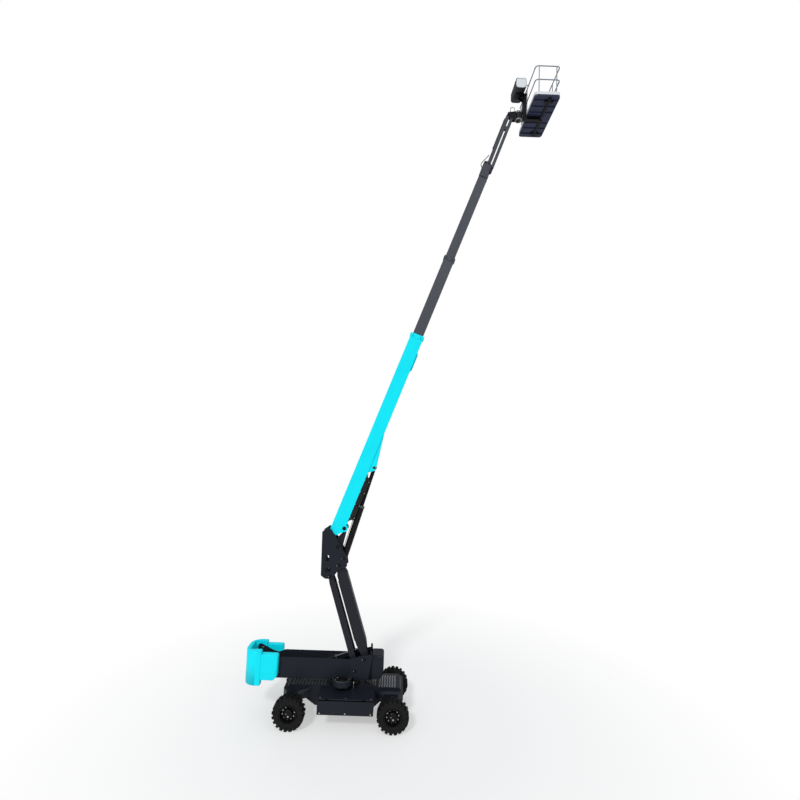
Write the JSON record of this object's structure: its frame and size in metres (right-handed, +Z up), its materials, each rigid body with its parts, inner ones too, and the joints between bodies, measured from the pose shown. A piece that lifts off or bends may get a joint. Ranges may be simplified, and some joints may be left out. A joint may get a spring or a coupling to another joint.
{
  "type": "telescopic boom lift",
  "caption": "Self-propelled lift whose folding lower arm carries a telescopic boom, a level jib and a railed work platform.",
  "frame": {"origin": "on the floor under the middle of the whole machine's length and width, with the boom raised", "axes": "+X forward, towards the work platform; +Y to the machine's left; +Z up"},
  "size_m": [10.4699, 2.465, 23.4497],
  "materials": {
    "body_paint": "satin dark grey paint",
    "boom_paint": "gloss light blue paint",
    "console": "grained",
    "dark_metal": "black paint",
    "deck": "navy paint",
    "hose": "matt",
    "jib_paint": "satin light grey paint",
    "pod_paint": "gloss dark navy paint",
    "rail_steel": "pale paint",
    "rim_paint": "satin grey paint",
    "rod_steel": "polished",
    "stage_paint": "satin mid grey paint",
    "toe_paint": "satin cream paint",
    "tread_plate": "ribbed plate",
    "tyre": "matt"
  },
  "bodies": {
    "chassis": {"chassis_frame": "body_paint", "front_deck_plate": "tread_plate", "rear_deck_plate": "tread_plate", "right_side_pod": "pod_paint", "left_side_pod": "pod_paint", "slewing_ring": "dark_metal", "front_axle": "dark_metal", "rear_axle": "dark_metal"},
    "right_steering": {"right_steering_knuckle": "dark_metal"},
    "left_steering": {"left_steering_knuckle": "dark_metal"},
    "track_rod": {"track_rod": "dark_metal"},
    "front_right_wheel": {"front_right_tyre": "tyre", "front_right_rim": "rim_paint"},
    "front_left_wheel": {"front_left_tyre": "tyre", "front_left_rim": "rim_paint"},
    "rear_right_wheel": {"rear_right_tyre": "tyre", "rear_right_rim": "rim_paint"},
    "rear_left_wheel": {"rear_left_tyre": "tyre", "rear_left_rim": "rim_paint"},
    "turntable": {"turntable_base": "body_paint", "trough_plates": "body_paint", "nose_box": "body_paint", "slewing_drive": "body_paint", "rear_counterweight": "boom_paint", "right_counterweight": "boom_paint", "left_counterweight": "boom_paint"},
    "lower_arm": {"lower_arm": "body_paint"},
    "lower_tie": {"lower_tie_link": "body_paint"},
    "knuckle": {"knuckle": "body_paint"},
    "riser_barrel": {"riser_cylinder_barrel": "dark_metal"},
    "riser_rod": {"riser_cylinder_rod": "rod_steel"},
    "main_boom": {"outer_boom": "boom_paint", "boom_cylinder_bracket": "boom_paint"},
    "boom_barrel": {"boom_cylinder_barrel": "dark_metal"},
    "boom_rod": {"boom_cylinder_rod": "dark_metal"},
    "middle_stage": {"middle_stage": "stage_paint"},
    "inner_stage": {"inner_stage": "stage_paint", "boom_head": "jib_paint"},
    "level_bracket": {"level_bracket": "jib_paint", "head_hose_right": "hose", "head_hose_left": "hose"},
    "jib_arm": {"jib_arm": "jib_paint"},
    "jib_tie": {"jib_tie_right": "jib_paint", "jib_tie_left": "jib_paint"},
    "jib_barrel": {"jib_cylinder_barrel": "dark_metal"},
    "jib_rod": {"jib_cylinder_rod": "rod_steel"},
    "carrier": {"platform_carrier": "dark_metal", "carrier_hose": "hose"},
    "platform": {"platform_mast": "dark_metal", "platform_floor": "deck", "right_end_rails": "rail_steel", "left_front_rails": "rail_steel", "left_rear_rails": "rail_steel", "front_side_rails": "rail_steel", "rear_side_rails": "rail_steel", "toe_boards": "toe_paint", "control_console": "console"},
    "gate": {"platform_gate": "rail_steel"}
  },
  "joints": [
    {"name": "slew", "type": "hinge", "parent": "chassis", "child": "turntable", "pos_m": [-1.8, 0, 1.17], "axis": [0, 0, 1], "continuous": true},
    {"name": "steer_right", "type": "hinge", "parent": "chassis", "child": "right_steering", "pos_m": [-3.515, -0.7, 0.535], "axis": [0, 0, 1], "range_deg": [-35, 35]},
    {"name": "steer_left", "type": "hinge", "parent": "chassis", "child": "left_steering", "pos_m": [-3.515, 0.7, 0.535], "axis": [0, 0, 1], "range_deg": [-35, 35]},
    {"name": "track_rod_ball", "type": "hinge", "parent": "right_steering", "child": "track_rod", "pos_m": [-3.345, -0.7, 0.405], "axis": [0, 0, 1], "range_deg": [-35, 35]},
    {"name": "front_right_spin", "type": "hinge", "parent": "chassis", "child": "front_right_wheel", "pos_m": [-0.085, -1.04, 0.535], "axis": [0, 1, 0], "continuous": true},
    {"name": "front_left_spin", "type": "hinge", "parent": "chassis", "child": "front_left_wheel", "pos_m": [-0.085, 1.04, 0.535], "axis": [0, 1, 0], "continuous": true},
    {"name": "rear_right_spin", "type": "hinge", "parent": "right_steering", "child": "rear_right_wheel", "pos_m": [-3.515, -1.04, 0.535], "axis": [0, 1, 0], "continuous": true},
    {"name": "rear_left_spin", "type": "hinge", "parent": "left_steering", "child": "rear_left_wheel", "pos_m": [-3.515, 1.04, 0.535], "axis": [0, 1, 0], "continuous": true},
    {"name": "riser_lift", "type": "hinge", "parent": "turntable", "child": "lower_arm", "pos_m": [-1.12, 0, 1.955], "axis": [0, 1, 0], "range_deg": [-60, 3]},
    {"name": "riser_tie", "type": "hinge", "parent": "turntable", "child": "lower_tie", "pos_m": [-1.42, 0, 1.565], "axis": [0, 1, 0], "range_deg": [-60, 3]},
    {"name": "knuckle_level", "type": "hinge", "parent": "lower_arm", "child": "knuckle", "pos_m": [-2.1507, 0, 5.08991], "axis": [0, 1, 0], "range_deg": [-3, 60]},
    {"name": "riser_ram_swing", "type": "hinge", "parent": "turntable", "child": "riser_barrel", "pos_m": [-3.4, 0, 1.44], "axis": [0, 1, 0], "range_deg": [-0.24, 3.85]},
    {"name": "riser_ram_stroke", "type": "slide", "parent": "riser_barrel", "child": "riser_rod", "axis": [0.9406, 0, 0.3396], "range_m": [-0.25165, 0.01353]},
    {"name": "boom_luff", "type": "hinge", "parent": "knuckle", "child": "main_boom", "pos_m": [-2.03171, 0, 6.37091], "axis": [0, -1, 0], "range_deg": [-79, 5]},
    {"name": "boom_ram_swing", "type": "hinge", "parent": "knuckle", "child": "boom_barrel", "pos_m": [-2.0007, 0, 5.32991], "axis": [0, -1, 0], "range_deg": [-61.5, 3.94]},
    {"name": "boom_ram_stroke", "type": "slide", "parent": "boom_barrel", "child": "boom_rod", "axis": [0.2839, 0, 0.9589], "range_m": [-1.01156, 0.06496]},
    {"name": "middle_extend", "type": "slide", "parent": "main_boom", "child": "middle_stage", "axis": [0.3478, 0, 0.9376], "range_m": [-3, 2]},
    {"name": "inner_extend", "type": "slide", "parent": "middle_stage", "child": "inner_stage", "axis": [0.3478, 0, 0.9376], "range_m": [-3, 2]},
    {"name": "platform_level", "type": "hinge", "parent": "inner_stage", "child": "level_bracket", "pos_m": [2.74011, 0, 20.1996], "axis": [0, -1, 0], "range_deg": [-5, 79]},
    {"name": "jib_lift", "type": "hinge", "parent": "level_bracket", "child": "jib_arm", "pos_m": [2.87011, 0, 20.1996], "axis": [0, -1, 0], "range_deg": [-120, 4]},
    {"name": "jib_tie", "type": "hinge", "parent": "level_bracket", "child": "jib_tie", "pos_m": [2.98011, 0, 19.9996], "axis": [0, -1, 0], "range_deg": [-120, 4]},
    {"name": "carrier_level", "type": "hinge", "parent": "jib_arm", "child": "carrier", "pos_m": [3.59992, 0, 22.23788], "axis": [0, -1, 0], "range_deg": [-4, 120]},
    {"name": "jib_ram_swing", "type": "hinge", "parent": "level_bracket", "child": "jib_barrel", "pos_m": [2.93011, 0, 19.8996], "axis": [0, -1, 0], "range_deg": [-120.14, 4.05]},
    {"name": "jib_ram_stroke", "type": "slide", "parent": "jib_barrel", "child": "jib_rod", "axis": [0.3241, 0, 0.946], "range_m": [-0.5309, 0.01866]},
    {"name": "platform_swing", "type": "hinge", "parent": "carrier", "child": "platform", "pos_m": [3.98992, 0, 22.23788], "axis": [0, 0, 1], "range_deg": [-90, 90]},
    {"name": "gate_swing", "type": "hinge", "parent": "platform", "child": "gate", "pos_m": [4.45122, 1.155, 22.75988], "axis": [0, 0, -1], "range_deg": [0, 80]}
  ],
  "couplings": [
    {"joint": "steer_left", "follows": "steer_right", "ratio": 1},
    {"joint": "track_rod_ball", "follows": "steer_right", "ratio": -1},
    {"joint": "riser_tie", "follows": "riser_lift", "ratio": 1},
    {"joint": "knuckle_level", "follows": "riser_lift", "ratio": -1},
    {"joint": "riser_ram_swing", "follows": "riser_lift", "ratio": -0.063352},
    {"joint": "riser_ram_stroke", "follows": "riser_lift", "m_per_rad": 0.23936},
    {"joint": "boom_ram_swing", "follows": "boom_luff", "ratio": 0.77787},
    {"joint": "boom_ram_stroke", "follows": "boom_luff", "m_per_rad": 0.73292},
    {"joint": "inner_extend", "follows": "middle_extend", "ratio": 1},
    {"joint": "platform_level", "follows": "boom_luff", "ratio": -1},
    {"joint": "jib_tie", "follows": "jib_lift", "ratio": 1},
    {"joint": "carrier_level", "follows": "jib_lift", "ratio": -1},
    {"joint": "jib_ram_swing", "follows": "jib_lift", "ratio": 1.0007},
    {"joint": "jib_ram_stroke", "follows": "jib_lift", "m_per_rad": 0.25301}
  ]
}
